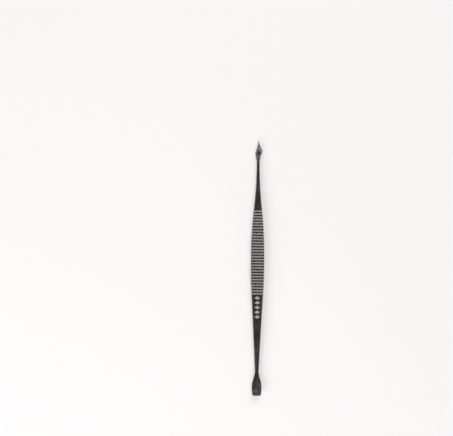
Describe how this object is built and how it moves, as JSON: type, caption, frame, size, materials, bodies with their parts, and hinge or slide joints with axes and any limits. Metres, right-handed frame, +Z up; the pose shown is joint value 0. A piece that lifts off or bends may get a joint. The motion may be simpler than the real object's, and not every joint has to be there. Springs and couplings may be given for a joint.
{
  "type": "cuticle pusher",
  "caption": "Double-ended steel cuticle pusher: a dished rounded pushing blade, a swelling cross-grooved grip and a faceted spear-shaped trimming point.",
  "frame": {"origin": "on the surface that the back of the grip rests on, under the middle of the tool's length and width", "axes": "+Y along the tool from the pusher blade to the spear point, +Z up through the thickness, on the side that the blade curls towards, +X across the width"},
  "size_m": [0.006, 0.1142, 0.0028],
  "materials": {
    "polished_steel": "polished lengthwise, with fine brushing along the shank",
    "satin_steel": "satin, with brighter matt groove walls",
    "ground_steel": "ground, with fine grinding lines and light mottling"
  },
  "bodies": {
    "root": {"pusher_blade": "ground_steel", "pusher_shank": "polished_steel", "ribbed_grip": "satin_steel", "spear_shank": "polished_steel", "spear_tip": "ground_steel"}
  },
  "joints": []
}
